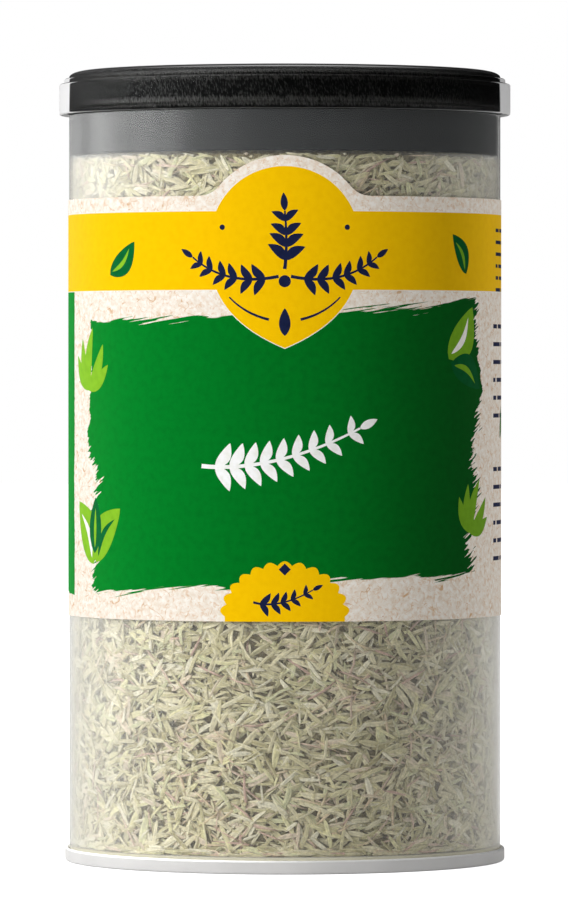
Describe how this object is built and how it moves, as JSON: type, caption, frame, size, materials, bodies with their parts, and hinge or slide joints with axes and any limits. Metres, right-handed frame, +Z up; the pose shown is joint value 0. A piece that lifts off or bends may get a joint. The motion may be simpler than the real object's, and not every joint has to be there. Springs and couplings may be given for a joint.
{
  "type": "dried thyme shaker can",
  "caption": "Clear plastic can of dried thyme leaf with a tin end, a paper label, a black sprinkler insert and a clear press-on overcap.",
  "frame": {"origin": "centre of the foot ring, on the surface that the can stands on", "axes": "+Z up along the can's axis; -Y is the front, where the label's arch is; +X to the right of the front"},
  "size_m": [0.0764, 0.0764, 0.1335],
  "materials": {
    "tinplate": "satin tinplate",
    "clear_plastic": "clear moulded PET",
    "label_paper": "uncoated fibre paper printed in yellow, greens and navy",
    "black_plastic": "black moulded polypropylene",
    "clear_cap": "slightly hazy clear polyethylene",
    "dried_thyme": "dull dried leaf and stalk"
  },
  "bodies": {
    "root": {"base_end": "tinplate", "clear_tube": "clear_plastic", "label": "label_paper", "sifter_insert": "black_plastic", "overcap": "clear_cap", "thyme_fill": "dried_thyme"}
  },
  "joints": []
}
